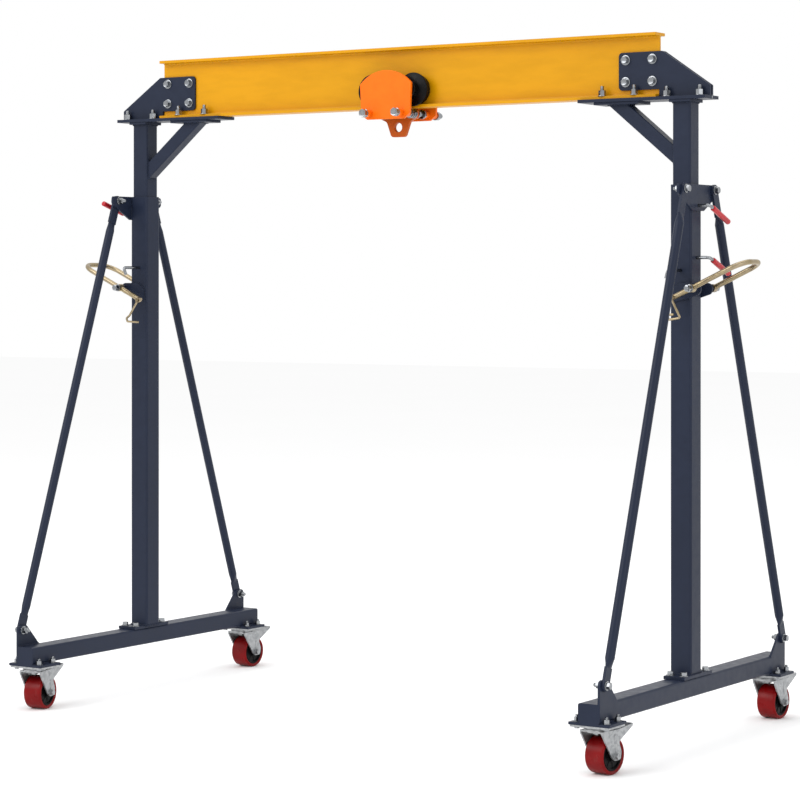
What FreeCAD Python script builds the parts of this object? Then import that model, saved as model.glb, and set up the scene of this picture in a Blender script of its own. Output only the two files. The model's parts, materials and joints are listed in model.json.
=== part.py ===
import FreeCAD, Part
import math
import os
from FreeCAD import Matrix, Rotation, Vector

# A mobile gantry crane: an I-beam on two telescoping posts, each post standing on a base
# beam with two braces and two braked swivel casters, and a trolley that runs on the beam.
# Millimetres. X runs along the beam, Y along the base beams, Z up from the floor.
# Local leg coordinates have their origin under the post's centre line, with +X outwards.

os.makedirs("parts", exist_ok=True)

# ---------------------------------------------------------------- overall sizes
SPAN = 2066.0            # between the centre lines of the two posts
BASE_LENGTH = 1230.0     # base beam, end to end
POST_LENGTH = 1465.0     # outer post, from its foot plate to its open top
HEAD_RISE = 247.0        # inner post showing above the outer post, at the lowest setting
BEAM_LENGTH = 1894.0

# ---------------------------------------------------------------- tubes and plates
POST = 70.0              # outer post, across
POST_WALL = 4.0
POST_CORNER = 7.0        # outside corner radius of the square tubes
SLIDE_GAP = 1.0          # between the outer and the inner post, each side
INNER_WALL = 4.0
BASE_WIDTH = 70.0
BASE_HEIGHT = 55.0
BASE_WALL = 4.0
FOOT_LENGTH = 184.0      # post foot plate, along the base beam
FOOT_THICKNESS = 10.0
EAR_PLATE = 7.0          # plate that the brace lugs and the yokes are cut from

# ---------------------------------------------------------------- casters
WHEEL_DIAMETER = 108.0
WHEEL_ROOM = 16.0        # between the wheel and the fork's crown
WHEEL_WIDTH = 64.0
HUB_DIAMETER = 87.0
TREAD_SHOULDER = 6.0     # rounding of the tread's edges
AXLE_DIAMETER = 12.0
AXLE_GAP = 0.1           # hub bore over the axle, radially
TRAIL = 34.0             # wheel axle behind the swivel axis
FORK_SIDE_GAP = 3.0      # between the wheel and each fork leg
FORK_PLATE = 5.0
PAD_LENGTH = 132.0       # across the base beam
PAD_WIDTH = 100.0        # along the base beam
PAD_THICKNESS = 8.0
TOP_PLATE_MARGIN = 2.0   # caster top plate inside the pad's edge
TOP_PLATE_THICKNESS = 6.0
SWIVEL_DIAMETER = 68.0
SWIVEL_GAP = 0.3         # between the turning head and the top plate
CROWN_DROP = 15.0        # underside of the fork crown below the top plate
PEDAL_REACH = 115.0      # tip of the brake pedal from the swivel axis
PEDAL_RISE = 9.0         # its tip above the fork's crown
PEDAL_THICKNESS = 4.0
CASTER_TURN = {          # how far each caster has turned from straight, degrees
    "left_front": 10.0,
    "right_front": -8.0,
    "left_rear": -3.0,
    "right_rear": -3.5,
}

# ---------------------------------------------------------------- braces and their ears
BRACE_DIAMETER = 28.0
BRACE_WALL = 3.0
BRACE_FLAT = 8.0         # thickness of the flattened ends
BRACE_TOP_FLAT = 78.0    # flattened length from the top bolt
BRACE_FOOT_FLAT = 48.0
BRACE_SWELL = 30.0       # length over which the tube turns into the flat
PADDLE_WIDTH = 34.0
YOKE_HALF_SPAN = 131.0
YOKE_EAR_DEPTH = 29.0
YOKE_HALF_FOOT = 37.0
YOKE_DEPTH = 79.0
YOKE_BOLT_OUT = 98.0     # brace bolts from the post's centre
YOKE_BOLT_DROP = 15.0
LUG_LENGTH = 103.0       # lug's foot along the base beam
LUG_BOLT_RISE = 51.0     # brace bolt above the base beam
LUG_BOLT_INSET = 26.0    # brace bolt from the base beam's end
LUG_RADIUS = 16.0

# ---------------------------------------------------------------- head and I-beam
CAP_LENGTH = 70.0        # cap plate of the inner post, along the beam
CAP_WIDTH = 86.0
CAP_THICKNESS = 8.0
HEAD_OUT = 86.0          # head plate beyond the post's centre
HEAD_IN = 346.0          # head plate along the beam
HEAD_WIDTH = 92.0
HEAD_THICKNESS = 10.0
GUSSET_THICKNESS = 7.0
GUSSET_IN = 222.0
GUSSET_RISE = 140.0
GUSSET_TOE = 31.0        # height of the gusset's outer edge
GUSSET_SHOULDER = 73.0   # where its top edge starts to slope, inboard of the post
GUSSET_CORNER = 12.0
GUSSET_LIFT = 16.0       # gusset's lower edge above the beam's bottom flange
BEAM_END_IN = (SPAN - BEAM_LENGTH) / 2
BEAM_GAP = 2.0           # gusset notch past the beam's end
BEAM_HEIGHT = 196.0
FLANGE_WIDTH = 62.0
FLANGE_THICKNESS = 9.0
WEB_THICKNESS = 7.0
WEB_FILLET = 6.0
KNEE = 44.0              # knee brace tube, across
KNEE_WALL = 3.0
KNEE_DROP = 157.0        # its centre line below the cap, at the post's face
KNEE_REACH = 189.0       # its centre line from the post's face, at the head
KNEE_PLATE_OUT = 140.0   # knee's plate, nearest to the post's centre
KNEE_PLATE_IN = 293.0
KNEE_PLATE_WIDTH = 80.0

# ---------------------------------------------------------------- height setting
HOLE_PITCH = 78.0
INNER_ROOM = 200.0       # at least this much under the inner post at the lowest setting
PIN_DIAMETER = 10.0
PIN_GAP = 0.25           # holes over the pins, radially
UPPER_PIN_DROP = 63.0    # below the outer post's top
PIN_SPACING_STEPS = 2    # hole pitches between the two grip pins
CROSS_PIN_DROP = {"left": 243.0, "right": 257.0}   # plain pins in the front faces
INNER_TAIL = 45.0        # inner post below its last hole
PIN_STANDOFF = 45.0      # grip pin's bend from the post's face
PIN_BEND = 11.0
GRIP_DIAMETER = 17.0
GRIP_LENGTH = 112.0
GRIP_START = 20.0
GRIP_TILT = {"left": -17.0, "right": 21.0}   # droop of each upper grip, degrees
GRIP_PINS = {"left": ["upper"], "right": ["upper", "lower"]}
CROSS_PIN_REACH = 82.0
CROSS_PIN_TURN = 24.0    # bent tip of the plain pin

# ---------------------------------------------------------------- lift lever
LEVER_DIAMETER = 16.0
LEVER_HALF_WIDTH = 72.0  # centre line of each arm from the post's centre
LEVER_REACH = 185.0      # pivot to the cross bar
LEVER_TAIL = {"left": 100.0, "right": 66.0}   # pivot to the front arm's inner end
LEVER_BEND = 52.0
LEVER_ANGLE = 25.0       # rise of the arms at rest, degrees
PIVOT_OUT = 54.0         # pivot from the post's centre
PIVOT_DROP = 311.0       # pivot below the outer post's top
PIVOT_DIAMETER = 12.0
PIVOT_GAP = 0.1
COLLAR_DIAMETER = 25.0
COLLAR_LENGTH = 22.0
COLLAR_SIDE_GAP = 0.4
EAR_THICKNESS = 6.0
EAR_RADIUS = 16.0
LINK_DIAMETER = 7.0
LINK_EYE = 18.0
LINK_EYE_WIDTH = 9.0
LINK_GAP = 0.1
LINK_STUD = 7.0
LINK_SPACE = 1.0         # between the lever's arm and the link's eye
LINK_BEND = 4.1
LINK_DROP = {"left": 53.0, "right": 60.0}
LINK_OUT = {"left": 37.0, "right": 30.0}
HOOK = {                 # the link's hooked end, from its lower bend: (outwards, up)
    "right": [(-39.0, -6.0), (-41.0, 9.0), (-22.0, 10.0)],
    "left": [(13.0, -9.0), (9.0, -20.0), (-38.0, -22.0)],
}

# ---------------------------------------------------------------- trolley
TROLLEY_X = 7.0          # trolley's middle from the middle of the beam
TROLLEY_PLATE = 9.0
TROLLEY_HALF_WIDTH = 82.0
TROLLEY_SHOULDER = 97.0  # half length at the shoulders
TROLLEY_WAIST = 92.0     # half length at the lower corners
TROLLEY_FOOT = 70.0
TROLLEY_TREAD = 96.0     # diameter of the wheels' treads
TROLLEY_LIP = 108.0
TREAD_INSET = 20.0       # tread reaches this far in over the flange
TREAD_GAP = 0.3          # running clearance over the flange and beside it
LIP_WIDTH = 9.0
TROLLEY_HUB = 52.0
TROLLEY_WHEEL_OUT = 77.0 # axle from the trolley's middle
TROLLEY_AXLE = 16.0
TROLLEY_AXLE_GAP = 0.1
HUB_SIDE_GAP = 4.0
SHOULDER_RISE = 67.0     # plate's shoulders over the flange's top
CROWN_RISE = 110.0       # plate's top over the flange's top
WAIST_DROP = 30.0        # lower corners below the flange's top
FOOT_DROP = 46.0
ROD_DIAMETER = 16.0
ROD_OUT = 60.0           # rods from the trolley's middle
ROD_DROP = 18.0          # rods below the beam
ROD_FRONT_REACH = 126.0
ROD_LENGTH = 280.0
EYE_PLATE = 12.0
EYE_DIAMETER = 30.0
EYE_DROP = 60.0          # eye below the beam
EYE_RIM = 31.0           # plate's edge below the eye's centre
EYE_PLATE_MARGIN = 12.0

# ---------------------------------------------------------------- places worked out from these
CASTER_HEIGHT = WHEEL_DIAMETER + WHEEL_ROOM + CROWN_DROP + TOP_PLATE_THICKNESS
BASE_BOTTOM = CASTER_HEIGHT + PAD_THICKNESS
BASE_TOP = BASE_BOTTOM + BASE_HEIGHT
POST_BOTTOM = BASE_TOP + FOOT_THICKNESS
POST_TOP = POST_BOTTOM + POST_LENGTH
CAP_BOTTOM = POST_TOP + HEAD_RISE
HEAD_BOTTOM = CAP_BOTTOM + CAP_THICKNESS
BEAM_BOTTOM = HEAD_BOTTOM + HEAD_THICKNESS
FLANGE_TOP = BEAM_BOTTOM + FLANGE_THICKNESS
BEAM_TOP = BEAM_BOTTOM + BEAM_HEIGHT
INNER = POST - 2 * POST_WALL - 2 * SLIDE_GAP
YOKE_FACE = POST / 2 + EAR_PLATE
BASE_X = YOKE_FACE - BASE_WIDTH / 2
HALF_BASE = BASE_LENGTH / 2
SWIVEL_Y = HALF_BASE - PAD_WIDTH / 2
UPPER_PIN_Z = POST_TOP - UPPER_PIN_DROP
LOWER_PIN_Z = UPPER_PIN_Z - PIN_SPACING_STEPS * HOLE_PITCH
CROSS_PIN_Z = {side: POST_TOP - drop for side, drop in CROSS_PIN_DROP.items()}
# As many hole pitches of travel as the outer post has room for.
LIFT_STEPS = int((min(LOWER_PIN_Z, *CROSS_PIN_Z.values()) - INNER_TAIL - INNER_ROOM
                  - POST_BOTTOM) / HOLE_PITCH)
TRAVEL = LIFT_STEPS * HOLE_PITCH
INNER_BOTTOM = min(LOWER_PIN_Z, *CROSS_PIN_Z.values()) - TRAVEL - INNER_TAIL
PIVOT_Z = POST_TOP - PIVOT_DROP
# The brake pedals reach past the rear ends only, so the legs stand this far in front of
# the middle of the footprint, where the origin is.
LEG_Y = -(SWIVEL_Y + PEDAL_REACH - HALF_BASE) / 2

SIDES = {"left": -1, "right": 1}
X_AXIS, Y_AXIS, Z_AXIS = Vector(1, 0, 0), Vector(0, 1, 0), Vector(0, 0, 1)
ORIGIN = Vector(0, 0, 0)


# ---------------------------------------------------------------- shape helpers
def box(x_low, x_high, y_low, y_high, z_low, z_high):
    return Part.makeBox(x_high - x_low, y_high - y_low, z_high - z_low, Vector(x_low, y_low, z_low))


def rod(centre, axis, radius, length):
    return Part.makeCylinder(radius, length, centre, axis)


def outline(corners):
    """A closed wire in the XY plane. A corner is (u, v) or (u, v, rounding radius)."""
    count = len(corners)
    ends = []
    for i, corner in enumerate(corners):
        here = Vector(corner[0], corner[1], 0)
        if len(corner) < 3 or corner[2] <= 0:
            ends.append((here, None, here))
            continue
        before = Vector(corners[i - 1][0], corners[i - 1][1], 0) - here
        after = Vector(corners[(i + 1) % count][0], corners[(i + 1) % count][1], 0) - here
        half = before.getAngle(after) / 2
        cut = corner[2] / math.tan(half)
        before.normalize()
        after.normalize()
        middle = before + after
        middle.normalize()
        centre = here + middle * (corner[2] / math.sin(half))
        ends.append((here + before * cut, centre - middle * corner[2], here + after * cut))
    edges = []
    for i, (start, arc_middle, end) in enumerate(ends):
        if arc_middle is not None:
            edges.append(Part.Arc(start, arc_middle, end).toShape())
        following = ends[(i + 1) % count][0]
        if end.distanceToPoint(following) > 1e-6:
            edges.append(Part.LineSegment(end, following).toShape())
    return Part.Wire(edges)


# Turn a drawing made in the XY plane so that it stands across the named axis.
PLANES = {
    "X": Matrix(0, 0, 1, 0, 1, 0, 0, 0, 0, 1, 0, 0, 0, 0, 0, 1),
    "Y": Matrix(1, 0, 0, 0, 0, 0, -1, 0, 0, 1, 0, 0, 0, 0, 0, 1),
    "Z": Matrix(),
}


def plate(corners, across, low, high):
    """A flat plate whose outline lies across an axis, from low to high along that axis.

    The outline is given as (Y, Z) across X, (X, Z) across Y and (X, Y) across Z.
    """
    face = Part.Face(outline(corners))
    start, depth = (-high, high - low) if across == "Y" else (low, high - low)
    solid = face.extrude(Vector(0, 0, depth))
    solid.translate(Vector(0, 0, start))
    return solid.transformGeometry(PLANES[across]) if across != "Z" else solid


def square_tube(width, depth, wall, corner, length):
    """A tube along +Z from the origin, centred on Z."""

    def ring(margin):
        x, y, r = width / 2 - margin, depth / 2 - margin, corner - margin
        return [(-x, -y, r), (x, -y, r), (x, y, r), (-x, y, r)]

    outer = plate(ring(0), "Z", 0, length)
    return outer.cut(plate(ring(wall), "Z", 0, length))


def bent_rod(points, bends, radius):
    """A round bar through the points, with a bend radius at each inner point."""
    places = [Vector(*p) for p in points]
    edges, start = [], places[0]
    for i, bend in enumerate(bends, start=1):
        before, after = places[i - 1] - places[i], places[i + 1] - places[i]
        half = before.getAngle(after) / 2
        cut = bend / math.tan(half)
        before.normalize()
        after.normalize()
        middle = before + after
        middle.normalize()
        centre = places[i] + middle * (bend / math.sin(half))
        arc_start, arc_end = places[i] + before * cut, places[i] + after * cut
        edges.append(Part.LineSegment(start, arc_start).toShape())
        edges.append(Part.Arc(arc_start, centre - middle * bend, arc_end).toShape())
        start = arc_end
    edges.append(Part.LineSegment(start, places[-1]).toShape())
    path = Part.Wire(edges)
    section = Part.Wire(Part.makeCircle(radius, places[0], places[1] - places[0]))
    return path.makePipeShell([section], True, False)


def fused(*pieces):
    whole = pieces[0]
    for piece in pieces[1:]:
        whole = whole.fuse(piece)
    return whole.removeSplitter()


def on_leg(shape, side, turned=True):
    """Move a piece from leg coordinates to its side: the left leg is turned or mirrored."""
    placed = shape.copy()
    if SIDES[side] < 0:
        if turned:
            placed.rotate(ORIGIN, Z_AXIS, 180)
        else:
            placed = placed.mirror(ORIGIN, X_AXIS)
    placed.translate(Vector(SIDES[side] * SPAN / 2, LEG_Y, 0))
    return placed


def save(name, *solids):
    shape = solids[0] if len(solids) == 1 else Part.makeCompound(list(solids))
    shape.exportStep(f"parts/{name}.step")


# ---------------------------------------------------------------- base beam and casters
def base_beam():
    tube = square_tube(BASE_WIDTH, BASE_HEIGHT, BASE_WALL, POST_CORNER, BASE_LENGTH)
    tube.rotate(ORIGIN, X_AXIS, -90)
    tube.translate(Vector(BASE_X, -HALF_BASE, BASE_BOTTOM + BASE_HEIGHT / 2))
    inside = BASE_WALL - BASE_WALL / 4
    pieces = [tube]
    for end in (-1, 1):
        near, far = sorted((end * HALF_BASE, end * (HALF_BASE - BASE_WALL)))
        pieces.append(box(BASE_X - BASE_WIDTH / 2 + inside, BASE_X + BASE_WIDTH / 2 - inside,
                          near, far, BASE_BOTTOM + inside, BASE_TOP - inside))
        pieces.append(box(BASE_X - PAD_LENGTH / 2, BASE_X + PAD_LENGTH / 2,
                          end * SWIVEL_Y - PAD_WIDTH / 2, end * SWIVEL_Y + PAD_WIDTH / 2,
                          CASTER_HEIGHT, BASE_BOTTOM))
        pieces.append(lug(end))
    return fused(*pieces)


def lug(end):
    """The upright ear for a brace's lower bolt, flush with the beam's outer face and end."""
    foot = BASE_TOP - POST_CORNER
    top = BASE_TOP + LUG_BOLT_RISE + LUG_RADIUS
    inner_top = HALF_BASE - LUG_BOLT_INSET - LUG_RADIUS
    corners = [
        (end * HALF_BASE, foot),
        (end * HALF_BASE, top, LUG_RADIUS),
        (end * inner_top, top, LUG_RADIUS),
        (end * (HALF_BASE - LUG_LENGTH), BASE_TOP),
        (end * (HALF_BASE - LUG_LENGTH), foot),
    ]
    return plate(corners, "X", YOKE_FACE - EAR_PLATE, YOKE_FACE)


def caster_top_plate():
    half_x, half_y = PAD_LENGTH / 2 - TOP_PLATE_MARGIN, PAD_WIDTH / 2 - TOP_PLATE_MARGIN
    corner = 4.0
    ring = [(-half_x, -half_y, corner), (half_x, -half_y, corner),
            (half_x, half_y, corner), (-half_x, half_y, corner)]
    return plate(ring, "Z", CASTER_HEIGHT - TOP_PLATE_THICKNESS, CASTER_HEIGHT)


def caster_fork():
    """Turning head, crown, two legs, axle and brake pedal. The wheel trails towards +Y."""
    head_top = CASTER_HEIGHT - TOP_PLATE_THICKNESS - SWIVEL_GAP
    crown_bottom = CASTER_HEIGHT - TOP_PLATE_THICKNESS - CROWN_DROP
    crown_top = crown_bottom + FORK_PLATE
    axle_z = WHEEL_DIAMETER / 2
    inner = WHEEL_WIDTH / 2 + FORK_SIDE_GAP
    outer = inner + FORK_PLATE
    head = rod(Vector(0, 0, crown_bottom), Z_AXIS, SWIVEL_DIAMETER / 2, head_top - crown_bottom)
    front, rear = -29, 52
    crown = box(-outer, outer, front, rear, crown_bottom, crown_top)
    # Each leg's rear edge runs up as a wing that carries the pedal.
    tip_top = crown_top + PEDAL_RISE
    leg_outline = [
        (front, crown_top),
        (front, crown_bottom - 4),
        (TRAIL - 19, axle_z - 2, 8),
        (TRAIL - 3, axle_z - 13, 8),
        (TRAIL + 22, axle_z - 12, 10),
        (TRAIL + 27, axle_z + 10, 8),
        (TRAIL + 15, axle_z + 40, 8),
        (PEDAL_REACH, tip_top - PEDAL_THICKNESS - 3),
        (PEDAL_REACH, tip_top),
        (rear, crown_top),
    ]
    legs = [plate(leg_outline, "X", inner, outer), plate(leg_outline, "X", -outer, -inner)]
    axle_overhang = 5.0
    axle = rod(Vector(-outer - axle_overhang, TRAIL, axle_z), X_AXIS, AXLE_DIAMETER / 2,
               2 * (outer + axle_overhang))
    root = rear - FORK_PLATE
    pedal = plate([(root, crown_top - PEDAL_THICKNESS), (PEDAL_REACH, tip_top - PEDAL_THICKNESS),
                   (PEDAL_REACH, tip_top), (rear, crown_top), (root, crown_top)],
                  "X", -outer, outer)
    return fused(head, crown, *legs, axle, pedal)


def caster_hub():
    bore = AXLE_DIAMETER / 2 + AXLE_GAP
    boss = HUB_DIAMETER * 0.2
    boss_half = WHEEL_WIDTH / 2 + FORK_SIDE_GAP - 0.5
    rim_half = WHEEL_WIDTH / 2 - 4
    disc_half = WHEEL_WIDTH / 2 - 8
    rim_inner = HUB_DIAMETER / 2 - 6
    profile = [
        (bore, -boss_half), (boss, -boss_half), (boss, -disc_half), (rim_inner, -disc_half),
        (rim_inner, -rim_half), (HUB_DIAMETER / 2, -rim_half), (HUB_DIAMETER / 2, rim_half),
        (rim_inner, rim_half), (rim_inner, disc_half), (boss, disc_half), (boss, boss_half),
        (bore, boss_half),
    ]
    return turned_about_x(profile)


def caster_tyre():
    half = WHEEL_WIDTH / 2
    outer = WHEEL_DIAMETER / 2
    return turned_about_x([(HUB_DIAMETER / 2, -half + 4), (HUB_DIAMETER / 2 + 4, -half),
                           (outer, -half, TREAD_SHOULDER), (outer, half, TREAD_SHOULDER),
                           (HUB_DIAMETER / 2 + 4, half), (HUB_DIAMETER / 2, half - 4)])


def turned_about_x(profile):
    """A solid of revolution about X, from (radius, X) corners, placed as a caster's wheel."""
    face = Part.Face(outline([(corner[0], *corner[1:]) for corner in profile]))
    solid = face.revolve(ORIGIN, Y_AXIS, 360)
    solid.rotate(ORIGIN, Z_AXIS, -90)
    solid.translate(Vector(0, TRAIL, WHEEL_DIAMETER / 2))
    return solid


def at_caster(shape, side, end):
    placed = shape.copy()
    placed.rotate(ORIGIN, Z_AXIS, CASTER_TURN[f"{side}_{end}"])
    y = SWIVEL_Y if end == "rear" else -SWIVEL_Y
    placed.translate(Vector(SIDES[side] * (SPAN / 2 + BASE_X), LEG_Y + y, 0))
    return placed


# ---------------------------------------------------------------- posts
def pin_hole(axis, z, low, high):
    """A pin's clearance hole along an axis, between two distances from the post's centre."""
    start = Vector(axis.x * low, axis.y * low, z)
    return rod(start, axis, PIN_DIAMETER / 2 + PIN_GAP, high - low)


def outer_post():
    tube = square_tube(POST, POST, POST_WALL, POST_CORNER, POST_LENGTH)
    tube.translate(Vector(0, 0, POST_BOTTOM))
    foot = box(BASE_X - BASE_WIDTH / 2, BASE_X + BASE_WIDTH / 2,
               -FOOT_LENGTH / 2, FOOT_LENGTH / 2, BASE_TOP, POST_BOTTOM)
    post = fused(tube, foot, *[lever_ear(end) for end in (-1, 1)])
    for z in (UPPER_PIN_Z, LOWER_PIN_Z):
        post = post.cut(pin_hole(X_AXIS, z, 0, POST))
    return post


def with_cross_pin_hole(post, side):
    """The plain pin goes in at the front face, so the left post has its hole turned round."""
    toward_front = Vector(0, -SIDES[side], 0)
    return post.cut(pin_hole(toward_front, CROSS_PIN_Z[side], 0, POST))


def lever_ear(end):
    """A plate on the post's side that carries the lever's pivot stud."""
    low, high = POST / 2, POST / 2 + EAR_THICKNESS
    corners = [
        (-25, PIVOT_Z - 42), (20, PIVOT_Z - 32, 20),
        (PIVOT_OUT + EAR_RADIUS, PIVOT_Z - EAR_RADIUS, EAR_RADIUS),
        (PIVOT_OUT + EAR_RADIUS, PIVOT_Z + EAR_RADIUS, EAR_RADIUS),
        (0, PIVOT_Z + EAR_RADIUS), (-25, PIVOT_Z - 6),
    ]
    ear = plate(corners, "Y", *sorted((end * low, end * high)))
    shoulder_end = LEVER_HALF_WIDTH - COLLAR_LENGTH / 2 - COLLAR_SIDE_GAP
    stud_end = LEVER_HALF_WIDTH + COLLAR_LENGTH / 2 + COLLAR_SIDE_GAP
    direction = Vector(0, end, 0)
    stud = rod(Vector(PIVOT_OUT, end * low, PIVOT_Z), direction, PIVOT_DIAMETER / 2,
               stud_end - low)
    shoulder = rod(Vector(PIVOT_OUT, end * low, PIVOT_Z), direction, PIVOT_DIAMETER * 0.8,
                   shoulder_end - low)
    head = rod(Vector(PIVOT_OUT, end * stud_end, PIVOT_Z), direction, PIVOT_DIAMETER * 0.8, 5)
    return fused(ear, stud, shoulder, head)


def inner_post(side):
    length = CAP_BOTTOM - INNER_BOTTOM
    tube = square_tube(INNER, INNER, INNER_WALL, POST_CORNER - SLIDE_GAP, length)
    tube.translate(Vector(0, 0, INNER_BOTTOM))
    for step in range(LIFT_STEPS + PIN_SPACING_STEPS + 1):
        tube = tube.cut(pin_hole(X_AXIS, UPPER_PIN_Z - step * HOLE_PITCH, -INNER, INNER))
    for step in range(LIFT_STEPS + 1):
        tube = tube.cut(pin_hole(Y_AXIS, CROSS_PIN_Z[side] - step * HOLE_PITCH, -INNER, INNER))
    cap = box(-CAP_LENGTH / 2, CAP_LENGTH / 2, -CAP_WIDTH / 2, CAP_WIDTH / 2,
              CAP_BOTTOM, HEAD_BOTTOM)
    return fused(tube, cap)


def yoke():
    """The plate on the post's outer face whose two ears hold the brace tops."""
    top = POST_TOP
    corners = [
        (-YOKE_HALF_SPAN, top, 8), (YOKE_HALF_SPAN, top, 8),
        (YOKE_HALF_SPAN, top - YOKE_EAR_DEPTH, 12), (YOKE_HALF_FOOT, top - YOKE_DEPTH, 8),
        (-YOKE_HALF_FOOT, top - YOKE_DEPTH, 8), (-YOKE_HALF_SPAN, top - YOKE_EAR_DEPTH, 12),
    ]
    return plate(corners, "X", POST / 2, YOKE_FACE).cut(pin_hole(X_AXIS, UPPER_PIN_Z, 0, POST))


def brace(end):
    """A tube with flattened ends, from a yoke ear down to a base lug."""
    top = Vector(YOKE_FACE, end * YOKE_BOLT_OUT, POST_TOP - YOKE_BOLT_DROP)
    foot = Vector(YOKE_FACE, end * (HALF_BASE - LUG_BOLT_INSET), BASE_TOP + LUG_BOLT_RISE)
    length = top.distanceToPoint(foot)
    radius, middle = BRACE_DIAMETER / 2, BRACE_FLAT / 2
    start, stop = BRACE_TOP_FLAT + BRACE_SWELL, length - BRACE_FOOT_FLAT - BRACE_SWELL
    # Along +Z from the top bolt, with the flat ends across X and their faces at X = 0.
    outer = rod(Vector(middle, 0, start), Z_AXIS, radius, stop - start)
    inner = rod(Vector(middle, 0, start), Z_AXIS, radius - BRACE_WALL, stop - start)
    pieces = [outer.cut(inner)]
    for joint, flat, direction in ((start, BRACE_TOP_FLAT, -1), (stop, length - BRACE_FOOT_FLAT, 1)):
        circle = Part.Wire(Part.makeCircle(radius, Vector(middle, 0, joint), Z_AXIS))
        ellipse = Part.Ellipse(Vector(middle, PADDLE_WIDTH / 2, flat),
                               Vector(middle + BRACE_FLAT / 2, 0, flat),
                               Vector(middle, 0, flat))
        pieces.append(Part.makeLoft([circle, Part.Wire(ellipse.toShape())], True))
    half = PADDLE_WIDTH / 2
    for bolt_at, flat in ((0, BRACE_TOP_FLAT + 4), (length, length - BRACE_FOOT_FLAT - 4)):
        low, high = sorted((bolt_at, flat))
        pieces.append(box(0, BRACE_FLAT, -half, half, low, high))
        pieces.append(rod(Vector(0, 0, bolt_at), X_AXIS, half, BRACE_FLAT))
    whole = fused(*pieces)
    lean = math.degrees(math.atan2(foot.y - top.y, top.z - foot.z))
    whole.rotate(ORIGIN, X_AXIS, 180 + lean)
    whole.translate(top)
    return whole


def grip_pin(side, upper):
    """A pin through the post with its outer end bent round, and the grip on that end."""
    tilt = math.radians(GRIP_TILT[side] if upper else GRIP_TILT["right"])
    z = UPPER_PIN_Z if upper else LOWER_PIN_Z
    bend_x = POST / 2 + PIN_STANDOFF
    reach = GRIP_START + GRIP_LENGTH
    tip = (bend_x, reach * math.cos(tilt), z - reach * math.sin(tilt))
    inner_end = -(INNER / 2)
    pin = bent_rod([(inner_end, 0, z), (bend_x, 0, z), tip], [PIN_BEND], PIN_DIAMETER / 2)
    direction = Vector(0, math.cos(tilt), -math.sin(tilt))
    grip_base = Vector(bend_x, 0, z) + direction * GRIP_START
    core = rod(grip_base, direction, PIN_DIAMETER / 2, GRIP_LENGTH)
    grip = rod(grip_base, direction, GRIP_DIAMETER / 2, GRIP_LENGTH + 3)
    grip = grip.makeFillet(4.0, grip.Edges).cut(core)
    return pin, grip


def cross_pin(side):
    """The plain pin in the post's front face, with its tip bent down."""
    z = CROSS_PIN_Z[side]
    bend_y = -(POST / 2 + CROSS_PIN_REACH)
    return bent_rod([(0, -INNER / 2 + INNER_WALL + 2, z), (0, bend_y, z),
                     (-8, bend_y + 2, z - CROSS_PIN_TURN)], [8.0], PIN_DIAMETER / 2)


# ---------------------------------------------------------------- lift lever
def lever_point(along):
    angle = math.radians(LEVER_ANGLE)
    return PIVOT_OUT + along * math.cos(angle), PIVOT_Z + along * math.sin(angle)


def lift_lever(side):
    """A U-shaped bar with one arm each side of the post. Its front arm runs on to the link."""
    tail = lever_point(-LEVER_TAIL[side])
    short_tail = lever_point(-COLLAR_DIAMETER / 2 - 4)
    far = lever_point(LEVER_REACH)
    path = [
        (tail[0], -LEVER_HALF_WIDTH, tail[1]), (far[0], -LEVER_HALF_WIDTH, far[1]),
        (far[0], LEVER_HALF_WIDTH, far[1]), (short_tail[0], LEVER_HALF_WIDTH, short_tail[1]),
    ]
    pieces = [bent_rod(path, [LEVER_BEND, LEVER_BEND], LEVER_DIAMETER / 2)]
    for end in (-1, 1):
        pieces.append(rod(Vector(PIVOT_OUT, end * LEVER_HALF_WIDTH - COLLAR_LENGTH / 2, PIVOT_Z),
                          Y_AXIS, COLLAR_DIAMETER / 2, COLLAR_LENGTH))
    stud_length = LEVER_DIAMETER / 2 + 2 * LINK_SPACE + LINK_EYE_WIDTH
    pieces.append(rod(Vector(tail[0], -LEVER_HALF_WIDTH, tail[1]), -Y_AXIS, LINK_STUD / 2,
                      stud_length))
    pieces.append(rod(Vector(tail[0], -LEVER_HALF_WIDTH - stud_length, tail[1]), -Y_AXIS,
                      LINK_STUD * 0.8, 3))
    whole = fused(*pieces)
    bore = rod(Vector(PIVOT_OUT, -LEVER_HALF_WIDTH - COLLAR_LENGTH, PIVOT_Z), Y_AXIS,
               PIVOT_DIAMETER / 2 + PIVOT_GAP, 2 * (LEVER_HALF_WIDTH + COLLAR_LENGTH))
    return whole.cut(bore)


def lift_link(side):
    """The thin rod that hangs from the lever's inner end, with a hooked lower end."""
    tail = lever_point(-LEVER_TAIL[side])
    y = -LEVER_HALF_WIDTH - LEVER_DIAMETER / 2 - LINK_SPACE - LINK_EYE_WIDTH / 2
    low = (tail[0] + LINK_OUT[side], tail[1] - LINK_DROP[side])
    hook = [(low[0] + out, low[1] + up) for out, up in HOOK[side]]
    points = [(x, y, z) for x, z in [tail, low, *hook]]
    bar = bent_rod(points, [LINK_BEND] * (len(points) - 2), LINK_DIAMETER / 2)
    eye = rod(Vector(tail[0], y - LINK_EYE_WIDTH / 2, tail[1]), Y_AXIS, LINK_EYE / 2,
              LINK_EYE_WIDTH)
    bore = rod(Vector(tail[0], y - LINK_EYE_WIDTH, tail[1]), Y_AXIS, LINK_STUD / 2 + LINK_GAP,
               2 * LINK_EYE_WIDTH)
    return fused(bar, eye).cut(bore)


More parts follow.
